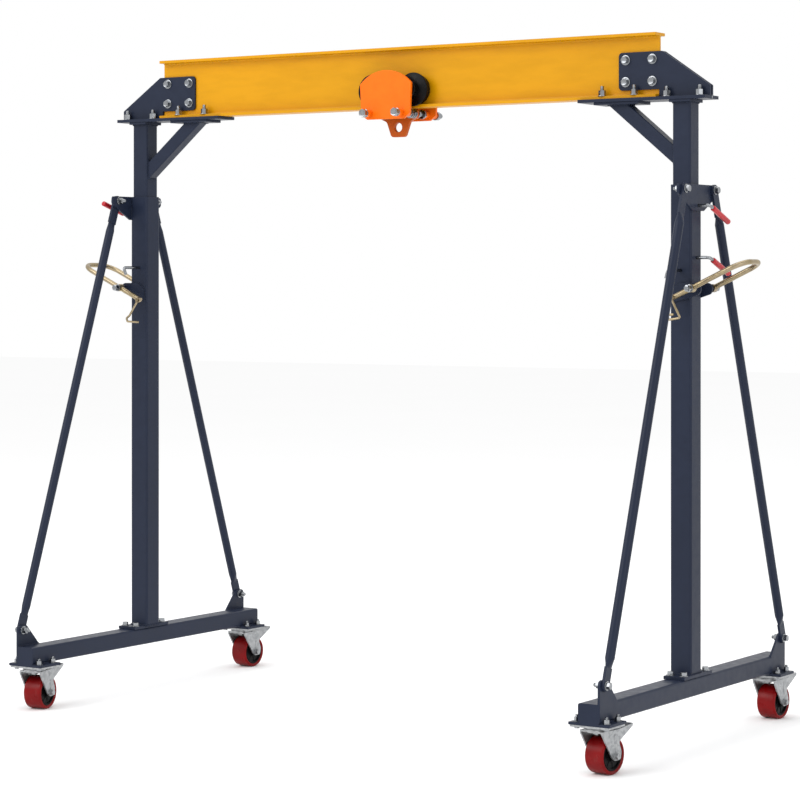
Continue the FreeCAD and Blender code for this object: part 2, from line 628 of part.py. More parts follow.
# ---------------------------------------------------------------- head and beam
def i_beam():
    half, web = FLANGE_WIDTH / 2, WEB_THICKNESS / 2
    corners = [
        (-half, BEAM_BOTTOM), (half, BEAM_BOTTOM), (half, FLANGE_TOP),
        (web, FLANGE_TOP, WEB_FILLET), (web, BEAM_TOP - FLANGE_THICKNESS, WEB_FILLET),
        (half, BEAM_TOP - FLANGE_THICKNESS), (half, BEAM_TOP), (-half, BEAM_TOP),
        (-half, BEAM_TOP - FLANGE_THICKNESS), (-web, BEAM_TOP - FLANGE_THICKNESS, WEB_FILLET),
        (-web, FLANGE_TOP, WEB_FILLET), (-half, FLANGE_TOP),
    ]
    beam = plate(corners, "X", -BEAM_LENGTH / 2, BEAM_LENGTH / 2)
    beam.translate(Vector(0, LEG_Y, 0))
    return beam


def head_bracket():
    """The plate that the beam rests on, with a gusset against each side of the beam's web."""
    base = box(-HEAD_IN, HEAD_OUT, -HEAD_WIDTH / 2, HEAD_WIDTH / 2, HEAD_BOTTOM, BEAM_BOTTOM)
    notch = -BEAM_END_IN + BEAM_GAP
    lift = FLANGE_TOP + GUSSET_LIFT
    corners = [
        (HEAD_OUT, BEAM_BOTTOM), (HEAD_OUT, BEAM_BOTTOM + GUSSET_TOE, 4),
        (-GUSSET_SHOULDER, BEAM_BOTTOM + GUSSET_RISE, 10),
        (-GUSSET_IN, BEAM_BOTTOM + GUSSET_RISE, GUSSET_CORNER),
        (-GUSSET_IN, lift, GUSSET_CORNER), (notch, lift), (notch, BEAM_BOTTOM),
    ]
    web = WEB_THICKNESS / 2
    return fused(base, plate(corners, "Y", web, web + GUSSET_THICKNESS),
                 plate(corners, "Y", -web - GUSSET_THICKNESS, -web))


def knee_brace():
    """The sloping tube from the inner post's inboard face up to a plate under the head."""
    face = -INNER / 2
    low = Vector(face, 0, CAP_BOTTOM - KNEE_DROP)
    high = Vector(face - KNEE_REACH, 0, CAP_BOTTOM)
    slope = math.degrees(math.atan2(KNEE_DROP, KNEE_REACH))
    run = low.distanceToPoint(high)
    tube = square_tube(KNEE, KNEE, KNEE_WALL, 5.0, run + 4 * KNEE)
    tube.translate(Vector(0, 0, -2 * KNEE))
    tube.rotate(ORIGIN, Y_AXIS, slope - 90)
    tube.translate(low)
    room = box(face - 2 * KNEE_REACH, face, -KNEE, KNEE, CAP_BOTTOM - 2 * KNEE_DROP, CAP_BOTTOM)
    top = box(-KNEE_PLATE_IN, -KNEE_PLATE_OUT, -KNEE_PLATE_WIDTH / 2, KNEE_PLATE_WIDTH / 2,
              CAP_BOTTOM, HEAD_BOTTOM)
    return fused(tube.common(room), top)


# ---------------------------------------------------------------- trolley
def trolley_side_plate(end):
    crown = FLANGE_TOP + CROWN_RISE
    shoulder = FLANGE_TOP + SHOULDER_RISE
    left = Vector(-TROLLEY_SHOULDER, shoulder, 0)
    right = Vector(TROLLEY_SHOULDER, shoulder, 0)
    lower = [(TROLLEY_WAIST, FLANGE_TOP - WAIST_DROP), (TROLLEY_FOOT, FLANGE_TOP - FOOT_DROP),
             (-TROLLEY_FOOT, FLANGE_TOP - FOOT_DROP), (-TROLLEY_WAIST, FLANGE_TOP - WAIST_DROP)]
    points = [right] + [Vector(x, z, 0) for x, z in lower] + [left]
    edges = [Part.LineSegment(a, b).toShape() for a, b in zip(points, points[1:])]
    edges.append(Part.Arc(left, Vector(0, crown, 0), right).toShape())
    solid = Part.Face(Part.Wire(edges)).extrude(Vector(0, 0, TROLLEY_PLATE))
    outer = TROLLEY_HALF_WIDTH
    solid.translate(Vector(0, 0, -outer if end > 0 else outer - TROLLEY_PLATE))
    solid = solid.transformGeometry(PLANES["Y"])
    inner = outer - TROLLEY_PLATE
    for x in (-TROLLEY_WHEEL_OUT, TROLLEY_WHEEL_OUT):
        start = Vector(x, end * (inner + TROLLEY_PLATE / 2), trolley_axle_z())
        length = inner + TROLLEY_PLATE / 2 - tread_inner()
        solid = fused(solid, rod(start, Vector(0, -end, 0), TROLLEY_AXLE / 2, length))
    for x in (-ROD_OUT, ROD_OUT):
        hole = rod(Vector(x, -2 * outer, rod_z()), Y_AXIS, ROD_DIAMETER / 2, 4 * outer)
        solid = solid.cut(hole)
    return at_trolley(solid)


def trolley_axle_z():
    return FLANGE_TOP + TREAD_GAP + TROLLEY_TREAD / 2


def rod_z():
    return BEAM_BOTTOM - ROD_DROP


def tread_inner():
    return FLANGE_WIDTH / 2 - TREAD_INSET


def at_trolley(shape):
    placed = shape.copy()
    placed.translate(Vector(TROLLEY_X, LEG_Y, 0))
    return placed


def trolley_wheel(x_side, end):
    """A flanged wheel: its tread runs on the beam's bottom flange, its lip beside it."""
    bore = TROLLEY_AXLE / 2 + TROLLEY_AXLE_GAP
    lip_inner = FLANGE_WIDTH / 2 + TREAD_GAP + 1
    lip_outer = lip_inner + LIP_WIDTH
    hub_end = TROLLEY_HALF_WIDTH - TROLLEY_PLATE - HUB_SIDE_GAP
    profile = [
        (bore, tread_inner()), (TROLLEY_TREAD / 2, tread_inner(), 2),
        (TROLLEY_TREAD / 2, lip_inner), (TROLLEY_LIP / 2, lip_inner + 2, 2),
        (TROLLEY_LIP / 2, lip_outer, 3), (TROLLEY_HUB / 2, lip_outer + 4),
        (TROLLEY_HUB / 2, hub_end, 3), (bore, hub_end),
    ]
    solid = Part.Face(outline(profile)).revolve(ORIGIN, Y_AXIS, 360)
    if end < 0:
        solid = solid.mirror(ORIGIN, Y_AXIS)
    solid.translate(Vector(x_side * TROLLEY_WHEEL_OUT, 0, trolley_axle_z()))
    return at_trolley(solid)


def trolley_rods():
    rods = []
    for sign in SIDES.values():
        start = Vector(sign * ROD_OUT, -ROD_FRONT_REACH, rod_z())
        rods.append(at_trolley(rod(start, Y_AXIS, ROD_DIAMETER / 2, ROD_LENGTH)))
    return rods


def load_plate():
    """The hanging plate on the two rods, with the eye for the hoist's hook."""
    z = rod_z()
    margin = EYE_PLATE_MARGIN
    top = z + ROD_DIAMETER / 2 + 4
    eye_z = BEAM_BOTTOM - EYE_DROP
    wide = ROD_OUT + margin
    corners = [
        (-wide, top, 6), (wide, top, 6), (wide, z - margin, 10),
        (EYE_DIAMETER + 14, eye_z + 18, 14), (EYE_DIAMETER - 4, eye_z - EYE_RIM, 12),
        (-EYE_DIAMETER + 4, eye_z - EYE_RIM, 12), (-EYE_DIAMETER - 14, eye_z + 18, 14),
        (-wide, z - margin, 10),
    ]
    body = plate(corners, "Y", -EYE_PLATE / 2, EYE_PLATE / 2)
    start_y = -EYE_PLATE
    body = body.cut(rod(Vector(0, start_y, eye_z), Y_AXIS, EYE_DIAMETER / 2, 2 * EYE_PLATE))
    for x in (-ROD_OUT, ROD_OUT):
        body = body.cut(rod(Vector(x, start_y, z), Y_AXIS, ROD_DIAMETER / 2, 2 * EYE_PLATE))
    return at_trolley(body)


# ---------------------------------------------------------------- the assembly
for side in SIDES:
    save(f"{side}_base_beam", on_leg(base_beam(), side))
    save(f"{side}_outer_post", on_leg(with_cross_pin_hole(outer_post(), side), side))
    save(f"{side}_yoke", on_leg(yoke(), side))
    save(f"{side}_braces", on_leg(brace(-1), side), on_leg(brace(1), side))
    save(f"{side}_inner_post", on_leg(inner_post(side), side))
    save(f"{side}_knee_brace", on_leg(knee_brace(), side))
    save(f"{side}_head_bracket", on_leg(head_bracket(), side))
    for level in GRIP_PINS[side]:
        pin, grip = grip_pin(side, level == "upper")
        save(f"{side}_{level}_pin", on_leg(pin, side))
        save(f"{side}_{level}_grip", on_leg(grip, side))
    save(f"{side}_cross_pin", on_leg(cross_pin(side), side, turned=False))
    save(f"{side}_lift_lever", on_leg(lift_lever(side), side, turned=False))
    save(f"{side}_lift_link", on_leg(lift_link(side), side, turned=False))
    tops = []
    for end in ("front", "rear"):
        top = caster_top_plate()
        y = SWIVEL_Y if end == "rear" else -SWIVEL_Y
        top.translate(Vector(SIDES[side] * (SPAN / 2 + BASE_X), LEG_Y + y, 0))
        tops.append(top)
        save(f"{side}_{end}_caster_fork", at_caster(caster_fork(), side, end))
        save(f"{side}_{end}_caster_hub", at_caster(caster_hub(), side, end))
        save(f"{side}_{end}_caster_tyre", at_caster(caster_tyre(), side, end))
    save(f"{side}_caster_top_plates", *tops)

save("i_beam", i_beam())
save("trolley_side_plates", trolley_side_plate(-1), trolley_side_plate(1))
save("trolley_rods", *trolley_rods())
save("load_plate", load_plate())
for end_name, end in (("front", -1), ("rear", 1)):
    for side, sign in SIDES.items():
        save(f"trolley_wheel_{end_name}_{side}", trolley_wheel(sign, end))
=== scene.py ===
import json
import math

import bpy
from bpy.props import FloatProperty, FloatVectorProperty, PointerProperty
from mathutils import Matrix, Vector


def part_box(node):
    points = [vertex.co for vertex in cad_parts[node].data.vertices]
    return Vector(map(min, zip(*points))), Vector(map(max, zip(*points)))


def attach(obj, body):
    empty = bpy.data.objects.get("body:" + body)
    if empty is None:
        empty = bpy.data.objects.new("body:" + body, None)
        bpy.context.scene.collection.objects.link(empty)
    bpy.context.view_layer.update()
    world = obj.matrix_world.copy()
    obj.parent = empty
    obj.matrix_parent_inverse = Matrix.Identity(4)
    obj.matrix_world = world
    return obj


bl_info = {
    "name": "Gantry Crane Finish",
    "version": (1, 0, 0),
    "blender": (4, 5, 0),
    "location": "View3D > Sidebar > Crane",
    "description": "Adds a gantry crane's fasteners, welds, caster parts, finishes and studio",
    "category": "Object",
}

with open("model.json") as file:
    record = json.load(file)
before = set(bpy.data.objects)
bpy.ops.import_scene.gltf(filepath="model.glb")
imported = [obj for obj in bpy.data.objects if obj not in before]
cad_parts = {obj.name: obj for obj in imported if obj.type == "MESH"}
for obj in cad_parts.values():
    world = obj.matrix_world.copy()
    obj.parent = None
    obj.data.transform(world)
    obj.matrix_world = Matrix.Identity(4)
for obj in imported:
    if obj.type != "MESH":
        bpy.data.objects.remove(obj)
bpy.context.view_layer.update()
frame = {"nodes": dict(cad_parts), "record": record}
NODES = frame["nodes"]
JOINTS = {joint["name"]: joint for joint in frame["record"]["behaviour"]["joints"]}

SIDES = (("left", -1.0), ("right", 1.0))
ENDS = (("front", -1.0), ("rear", 1.0))
MM = 0.001
X_AXIS, Y_AXIS, Z_AXIS = Vector((1, 0, 0)), Vector((0, 1, 0)), Vector((0, 0, 1))


# ------------------------------------------------------------------ sizes and colours

class CraneHardware(bpy.types.PropertyGroup):
    """Sizes of the fasteners and welds."""

    web_bolt: FloatProperty(
        name="Web bolt", description="Across the flats of the bolts through the beam's web",
        default=19 * MM, unit="LENGTH", subtype="DISTANCE")
    web_washer: FloatProperty(
        name="Web washer", description="Diameter of the washers on the web bolts",
        default=31 * MM, unit="LENGTH", subtype="DISTANCE")
    stud_nut: FloatProperty(
        name="Stud nut", description="Across the flats of the nuts on the head plate",
        default=20 * MM, unit="LENGTH", subtype="DISTANCE")
    foot_bolt: FloatProperty(
        name="Foot bolt", description="Across the flats of the post's foot bolts",
        default=17 * MM, unit="LENGTH", subtype="DISTANCE")
    brace_bolt: FloatProperty(
        name="Brace bolt", description="Across the flats of the bolts at the brace ends",
        default=18 * MM, unit="LENGTH", subtype="DISTANCE")
    caster_bolt: FloatProperty(
        name="Caster bolt", description="Across the flats of the nuts on the caster pads",
        default=14 * MM, unit="LENGTH", subtype="DISTANCE")
    rod_nut: FloatProperty(
        name="Rod nut", description="Across the flats of the nuts on the trolley's rods",
        default=24 * MM, unit="LENGTH", subtype="DISTANCE")
    weld_size: FloatProperty(
        name="Weld size", description="Radius of the weld beads",
        default=3.5 * MM, unit="LENGTH", subtype="DISTANCE")


class CraneColours(bpy.types.PropertyGroup):
    """Colours of the finishes."""

    beam: FloatVectorProperty(
        name="Beam", description="Enamel of the I-beam", subtype="COLOR",
        size=3, min=0, max=1, default=(0.63, 0.29, 0.001))
    frame: FloatVectorProperty(
        name="Frame", description="Powder coat of the legs and heads", subtype="COLOR",
        size=3, min=0, max=1, default=(0.0145, 0.0205, 0.041))
    trolley: FloatVectorProperty(
        name="Trolley", description="Enamel of the trolley", subtype="COLOR",
        size=3, min=0, max=1, default=(0.88, 0.155, 0.003))
    tread: FloatVectorProperty(
        name="Tread", description="Polyurethane of the caster treads", subtype="COLOR",
        size=3, min=0, max=1, default=(0.19, 0.001, 0.002))
    grip: FloatVectorProperty(
        name="Grip", description="Dipped vinyl of the pin grips", subtype="COLOR",
        size=3, min=0, max=1, default=(0.42, 0.008, 0.015))


class CraneStudio(bpy.types.PropertyGroup):
    """The camera and lights."""

    lens: FloatProperty(
        name="Lens", description="Focal length on a 36 mm sensor, in millimetres",
        default=117.2, unit="NONE")
    shift: FloatProperty(
        name="Shift", description="Upward shift of the level camera", default=-0.1462)
    azimuth: FloatProperty(
        name="Azimuth", description="Bearing of the camera's view", default=math.radians(33.0),
        unit="ROTATION", subtype="ANGLE")
    eye: FloatVectorProperty(
        name="Eye", description="Where the camera stands", subtype="TRANSLATION", unit="LENGTH",
        size=3, default=(4.5717, -7.0571, 1.3877))
    softness: FloatProperty(
        name="Softness", description="Size of the key light", default=5.0, unit="LENGTH")
    sky: FloatProperty(
        name="Sky", description="Brightness of the white surroundings", default=1.0)


# ------------------------------------------------------------------ mesh helpers

def deselect():
    bpy.ops.object.select_all(action="DESELECT")


def pick(*objects):
    deselect()
    for item in objects:
        item.select_set(True)
    bpy.context.view_layer.objects.active = objects[0]
    return objects[0]


def active():
    return bpy.context.view_layer.objects.active


def settle(item):
    """Put the object's place into its mesh, so that the object sits at the origin."""
    pick(item)
    bpy.ops.object.transform_apply(location=True, rotation=True, scale=True)
    return item


def choose(item, test):
    """Select only the faces whose centre and normal pass a test, in object mode."""
    mesh = item.data
    for part in (mesh.vertices, mesh.edges, mesh.polygons):
        part.foreach_set("select", [False] * len(part))
    for face in mesh.polygons:
        face.select = bool(test(face.center, face.normal))


def editing(item):
    pick(item)
    bpy.ops.object.mode_set(mode="EDIT")
    bpy.ops.mesh.select_mode(type="FACE")


def done():
    bpy.ops.object.mode_set(mode="OBJECT")


def bevelled(item, width, segments=2, angle=40):
    """Round an object's sharp edges with a bevel modifier, and apply it."""
    pick(item)
    modifier = item.modifiers.new("edges", "BEVEL")
    modifier.width = width
    modifier.segments = segments
    modifier.limit_method = "ANGLE"
    modifier.angle_limit = math.radians(angle)
    bpy.ops.object.modifier_apply(modifier=modifier.name)
    return item


def joined(items, name):
    pick(*items)
    if len(items) > 1:
        bpy.ops.object.join()
    whole = active()
    whole.name = name
    whole.data.name = name
    return whole


def smooth(item, angle=35):
    pick(item)
    bpy.ops.object.shade_smooth_by_angle(angle=math.radians(angle))


def finish_piece(item, body, finish):
    """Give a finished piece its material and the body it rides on."""
    smooth(item)
    item.data.materials.clear()
    item.data.materials.append(finish)
    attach(item, body)
    return item


def turned(position, direction, spin=0.0):
    """A matrix that stands a +Z piece at a position, along a direction."""
    turn = Vector(direction).to_track_quat("Z", "Y").to_matrix().to_4x4()
    return Matrix.Translation(position) @ turn @ Matrix.Rotation(spin, 4, "Z")


def copies(model, places):
    """Copies of a model, each with its own mesh, moved by the given matrices."""
    made = []
    for place in places:
        item = model.copy()
        item.data = model.data.copy()
        bpy.context.collection.objects.link(item)
        item.matrix_world = place
        made.append(item)
    pick(*made)
    bpy.ops.object.transform_apply(location=True, rotation=True, scale=True)
    return made


def scrap(*models):
    for model in models:
        bpy.data.objects.remove(model)


def box_of(node):
    low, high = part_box(node)
    return Vector(low), Vector(high)


# ------------------------------------------------------------------ fasteners

# Shares of a bolt's width across its flats.
WASHER_SHARE = 0.14
NUT_SHARE = 0.78
HEAD_SHARE = 0.6
SHANK_SHARE = 0.62
PITCH_SHARE = 0.11
# Share of a thread's diameter that its roots keep, and of its crests that the tip keeps.
ROOT_SHARE = 0.9
TIP_SHARE = 0.92
FACING_UP = 0.99


def hexagon(width, height):
    """A hexagonal head or nut on Z = 0 whose upper corners are turned off."""
    bpy.ops.mesh.primitive_cylinder_add(
        vertices=6, radius=width / math.sqrt(3), depth=height, location=(0, 0, height / 2))
    prism = settle(active())
    flat_radius = width / 2 * 0.96
    spread = height * 1.9
    bpy.ops.mesh.primitive_cone_add(
        vertices=36, radius1=flat_radius + spread, radius2=flat_radius, depth=height * 1.02,
        location=(0, 0, height / 2))
    cone = settle(active())
    pick(prism)
    cut = prism.modifiers.new("chamfer", "BOOLEAN")
    cut.operation = "INTERSECT"
    cut.solver = "EXACT"
    cut.object = cone
    bpy.ops.object.modifier_apply(modifier=cut.name)
    scrap(cone)
    return prism


def washer(diameter, thickness):
    """A flat washer on Z = 0 with rounded edges and a slightly dished face."""
    land, dish = diameter * 0.13, thickness * 0.12
    bpy.ops.mesh.primitive_cylinder_add(
        vertices=32, radius=diameter / 2, depth=thickness, location=(0, 0, thickness / 2))
    flat = settle(active())
    bevelled(flat, thickness * 0.3)
    choose(flat, lambda centre, normal: normal.z > FACING_UP and centre.z > thickness * 0.9)
    editing(flat)
    bpy.ops.mesh.inset(thickness=land, depth=-dish)
    done()
    return flat


def thread(diameter, start, length, pitch):
    """A threaded rod along Z, as a stack of crests and roots, with a chamfered tip."""
    bpy.ops.mesh.primitive_circle_add(
        vertices=18, radius=diameter / 2 * ROOT_SHARE, fill_type="NGON", location=(0, 0, start))
    rod = settle(active())
    editing(rod)
    bpy.ops.mesh.select_all(action="SELECT")
    steps = max(2, int(length / pitch) * 2)
    rise = length / steps
    z = start
    for step in range(steps):
        bpy.ops.mesh.extrude_region_move(TRANSFORM_OT_translate={"value": (0, 0, rise)})
        z += rise
        factor = 1 / ROOT_SHARE if step % 2 == 0 else ROOT_SHARE
        if step == steps - 1:
            factor *= TIP_SHARE
        bpy.ops.transform.resize(value=(factor, factor, 1), center_override=(0, 0, z))
    bpy.ops.mesh.select_all(action="SELECT")
    bpy.ops.mesh.normals_make_consistent(inside=False)
    done()
    return rod


def nut_set(width, washer_width, tail):
    """A washer, a nut and the threaded tail through it, standing on Z = 0."""
    thick, tall = width * WASHER_SHARE, width * NUT_SHARE
    tail_start = thick + tall * 0.6
    nut = hexagon(width, tall)
    nut.data.transform(Matrix.Translation((0, 0, thick)))
    return joined([nut, washer(washer_width, thick),
                   thread(width * SHANK_SHARE, tail_start, tall * 0.4 + tail,
                          width * PITCH_SHARE)],
                  "nut_set")


def head_set(width, washer_width):
    """A washer and a bolt's head with its sunk top, standing on Z = 0."""
    thick, tall = width * WASHER_SHARE, width * HEAD_SHARE
    head = hexagon(width, tall)
    choose(head, lambda centre, normal: normal.z > FACING_UP)
    editing(head)
    bpy.ops.mesh.inset(thickness=width * 0.1, depth=-width * 0.02)
    done()
    head.data.transform(Matrix.Translation((0, 0, thick)))
    return joined([head, washer(washer_width, thick)], "head_set")


# ------------------------------------------------------------------ materials

# The range that a noise texture mostly stays in.
NOISE_LOW, NOISE_HIGH = 0.3, 0.7

class Finish:
    """A node material that is built up from object coordinates."""

    def __init__(self, name, colour, roughness, metallic=0.0, coat=0.0, coat_roughness=0.1,
                 sheen=0.5):
        self.material = bpy.data.materials.new(name)
        self.material.use_nodes = True
        self.nodes = self.material.node_tree.nodes
        self.links = self.material.node_tree.links
        self.shader = self.nodes["Principled BSDF"]
        self.colour = tuple(colour) + (1.0,)
        self.shader.inputs["Base Color"].default_value = self.colour
        self.shader.inputs["Roughness"].default_value = roughness
        self.shader.inputs["Metallic"].default_value = metallic
        self.shader.inputs["Specular IOR Level"].default_value = sheen
        self.shader.inputs["Coat Weight"].default_value = coat
        self.shader.inputs["Coat Roughness"].default_value = coat_roughness
        self.place = self.nodes.new("ShaderNodeTexCoord").outputs["Object"]
        self.normal = None

    def noise(self, scale, detail=4.0, stretch=(1, 1, 1)):
        mapping = self.nodes.new("ShaderNodeMapping")
        mapping.inputs["Scale"].default_value = stretch
        self.links.new(self.place, mapping.inputs["Vector"])
        node = self.nodes.new("ShaderNodeTexNoise")
        node.inputs["Scale"].default_value = scale
        node.inputs["Detail"].default_value = detail
        self.links.new(mapping.outputs["Vector"], node.inputs["Vector"])
        return node.outputs["Fac"]

    def cells(self, scale):
        node = self.nodes.new("ShaderNodeTexVoronoi")
        node.inputs["Scale"].default_value = scale
        self.links.new(self.place, node.inputs["Vector"])
        return node.outputs["Color"]

    def ramp(self, value, stops):
        node = self.nodes.new("ShaderNodeValToRGB")
        band = node.color_ramp
        while len(band.elements) < len(stops):
            band.elements.new(0.5)
        for element, (place, colour) in zip(band.elements, stops):
            element.position = place
            element.color = tuple(colour) + (1.0,)
        self.links.new(value, node.inputs["Fac"])
        return node.outputs["Color"]

    def tint(self, value, dark, light):
        """Vary the base colour between a darker and a lighter shade of itself."""
        shades = [[min(1.0, c * factor) for c in self.colour[:3]] for factor in (dark, light)]
        colour = self.ramp(value, [(NOISE_LOW, shades[0]), (NOISE_HIGH, shades[1])])
        self.links.new(colour, self.shader.inputs["Base Color"])
        return colour

    def blend(self, first, second, amount, mode="MIX"):
        node = self.nodes.new("ShaderNodeMix")
        node.data_type = "RGBA"
        node.blend_type = mode
        for socket, value in ((node.inputs[6], first), (node.inputs[7], second)):
            if isinstance(value, (tuple, list)):
                socket.default_value = tuple(value) + (1.0,)
            else:
                self.links.new(value, socket)
        if isinstance(amount, (int, float)):
            node.inputs[0].default_value = amount
        else:
            self.links.new(amount, node.inputs[0])
        return node.outputs[2]

    def span(self, value, low, high, from_low=NOISE_LOW, from_high=NOISE_HIGH):
        node = self.nodes.new("ShaderNodeMapRange")
        node.inputs["From Min"].default_value = from_low
        node.inputs["From Max"].default_value = from_high
        node.inputs["To Min"].default_value = low
        node.inputs["To Max"].default_value = high
        self.links.new(value, node.inputs["Value"])
        return node.outputs["Result"]

    def rough(self, value, low, high):
        self.links.new(self.span(value, low, high), self.shader.inputs["Roughness"])

    def bump(self, value, distance, strength=1.0):
        node = self.nodes.new("ShaderNodeBump")
        node.inputs["Distance"].default_value = distance
        node.inputs["Strength"].default_value = strength
        self.links.new(value, node.inputs["Height"])
        if self.normal:
            self.links.new(self.normal, node.inputs["Normal"])
        self.normal = node.outputs["Normal"]
        self.links.new(self.normal, self.shader.inputs["Normal"])

    def soft_edges(self, radius):
        """Catch the light along edges, as a thick coat of paint does."""
        node = self.nodes.new("ShaderNodeBevel")
        node.samples = 4
        node.inputs["Radius"].default_value = radius
        self.normal = node.outputs["Normal"]
        self.links.new(self.normal, self.shader.inputs["Normal"])


def enamel(name, colour, roughness, grain_along=(1, 1, 1), coat=0.02):
    """Sprayed enamel: faint mottling, orange peel and thicker, brighter edges."""
    paint = Finish(name, colour, roughness, coat=coat, coat_roughness=0.22, sheen=0.16)
    paint.soft_edges(1.6 * MM)
    broad = paint.noise(2.3, detail=3.0, stretch=grain_along)
    fine = paint.noise(38, detail=5.0, stretch=grain_along)
    base = paint.tint(broad, dark=0.9, light=1.06)
    speck = paint.ramp(fine, [(0.35, (0.93, 0.93, 0.93)), (0.62, (1, 1, 1))])
    paint.links.new(paint.blend(base, speck, 1.0, "MULTIPLY"), paint.shader.inputs["Base Color"])
    paint.rough(fine, roughness - 0.05, roughness + 0.07)
    paint.bump(paint.noise(260, detail=2.0), 0.12 * MM, strength=0.5)
    paint.bump(paint.noise(14, detail=3.0, stretch=grain_along), 0.5 * MM, strength=0.25)
    return paint.material


def zinc_plate(name, colour, warm, roughness=0.3):
    """Bright zinc plate: a metal with faint cloudy passivation and fine scratches."""
    plate = Finish(name, colour, roughness, metallic=1.0)
    cloud = plate.noise(55, detail=4.0)
    scratch = plate.noise(300, detail=2.0, stretch=(1, 1, 8))
    base = plate.tint(cloud, dark=0.8, light=1.12)
    tinted = plate.blend(base, warm, plate.span(plate.noise(24, detail=2.0), 0.0, 0.5))
    plate.links.new(tinted, plate.shader.inputs["Base Color"])
    plate.rough(scratch, roughness - 0.08, roughness + 0.12)
    plate.bump(scratch, 0.05 * MM, strength=0.4)
    return plate.material


def galvanised(name):
    """Pressed sheet with a mottled zinc coat, as on caster forks."""
    sheet = Finish(name, (0.34, 0.35, 0.36), 0.38, metallic=0.85)
    sheet.soft_edges(1.2 * MM)
    flake = sheet.cells(110)
    grey = sheet.ramp(flake, [(0.2, (0.24, 0.25, 0.26)), (0.8, (0.44, 0.45, 0.46))])
    sheet.links.new(sheet.blend(grey, (0.34, 0.35, 0.36), 0.45), sheet.shader.inputs["Base Color"])
    sheet.rough(sheet.noise(70), 0.28, 0.5)
    sheet.bump(sheet.noise(160, detail=3.0), 0.1 * MM, strength=0.5)
    return sheet.material


def cast_black(name, roughness=0.42):
    """Black-painted casting with a pebbled skin."""
    cast = Finish(name, (0.0028, 0.0028, 0.0032), roughness, coat=0.0, coat_roughness=0.25,
                  sheen=0.12)
    cast.tint(cast.noise(18), dark=0.6, light=1.6)
    cast.rough(cast.noise(60), roughness - 0.1, roughness + 0.12)
    cast.bump(cast.noise(240, detail=3.0), 0.25 * MM, strength=0.55)
    return cast.material


def polyurethane(name, colour):
    """Cast polyurethane tread: waxy, with scuffs and picked-up dust."""
    tread = Finish(name, colour, 0.3, coat=0.02, coat_roughness=0.2, sheen=0.15)
    base = tread.tint(tread.noise(12, detail=4.0), dark=0.72, light=1.18)
    scuff = tread.ramp(tread.noise(90, detail=5.0, stretch=(1, 1, 0.4)),
                       [(0.58, (0, 0, 0)), (0.78, (0.5, 0.5, 0.5))])
    tread.links.new(tread.blend(base, (0.2, 0.08, 0.07), tread.span(scuff, 0.0, 0.22, 0.0, 0.5)),
                    tread.shader.inputs["Base Color"])
    tread.rough(tread.noise(50, detail=4.0), 0.24, 0.44)
    tread.bump(tread.noise(180, detail=3.0), 0.1 * MM, strength=0.4)
    return tread.material


def vinyl(name, colour):
    """Dipped vinyl: a soft sheen with faint mottling and fine bumps."""
    skin = Finish(name, colour, 0.34, coat=0.15, coat_roughness=0.2, sheen=0.3)
    skin.tint(skin.noise(30, detail=3.0), dark=0.82, light=1.15)
    skin.rough(skin.noise(90), 0.28, 0.44)
    skin.bump(skin.noise(120, detail=3.0), 0.3 * MM, strength=0.4)
    return skin.material


FINISHES = {}


def make_finishes(colours):
    FINISHES.update({
        "beam_paint": enamel("beam_enamel", colours.beam, 0.34, (0.25, 1, 1)),
        "frame_paint": enamel("frame_powder_coat", colours.frame, 0.38),
        "trolley_paint": enamel("trolley_enamel", colours.trolley, 0.36),
        # The load plate's enamel is the trolley's, darkened to paint in the shade it hangs in.
        "shaded_trolley_paint": enamel("shaded_trolley_enamel", [c * 0.52 for c in colours.trolley], 0.36),
        "zinc": galvanised("galvanised_sheet"),
        "bolt": zinc_plate("bright_zinc_plate", (0.30, 0.31, 0.32), (0.26, 0.28, 0.31), 0.16),
        "gold_zinc": zinc_plate("yellow_zinc_plate", (0.34, 0.27, 0.15), (0.36, 0.30, 0.24), 0.3),
        "wheel_hub": cast_black("black_casting"),
        "trolley_wheel": cast_black("black_wheel_casting", 0.3),
        "tread": polyurethane("red_polyurethane", colours.tread),
        "grip": vinyl("red_vinyl", colours.grip),
    })


class CRANE_OT_finish_frame(bpy.types.Operator):
    """Give every frame part its paint, plating or moulded finish"""

    bl_idname = "crane.finish_frame"
    bl_label = "Finish frame"

    def execute(self, context):
        make_finishes(context.scene.crane_colours)
        slots = {part["node"]: part["material_slot"] for part in frame["record"]["subparts"]}
        for name, node in NODES.items():
            finish = FINISHES[slots[name]]
            # The load plate takes the darkened enamel: painted shade, not a paint of its own.
            if name == "load_plate":
                finish = FINISHES["shaded_trolley_paint"]
            elif name.endswith("_pin") or name == "trolley_rods":
                finish = FINISHES["bolt"]
            node.data.materials.clear()
            node.data.materials.append(finish)
        return {"FINISHED"}


# ------------------------------------------------------------------ heads

def post_x(side):
    low, high = box_of(f"{side}_inner_post")
    return (low.x + high.x) / 2


def middle_y():
    low, high = box_of("i_beam")
    return (low.y + high.y) / 2


def spins(count):
    """A different turn for each fastener, the same in every run."""
    return [math.radians(17 + 37 * i) for i in range(count)]


WEB_FACE = 10.5 * MM             # outer face of a gusset, from the middle of the web
WEB_BOLTS_INBOARD = (107 * MM, 198 * MM)
WEB_BOLTS_RISE = (117 * MM, 50 * MM)
FLANGE = 9 * MM
FIRST_STUD = 58 * MM             # outboard of the post's middle
STUD_PITCH = 110 * MM
STUD_ROW = 24 * MM               # either side of the beam's middle
STUDS = 4


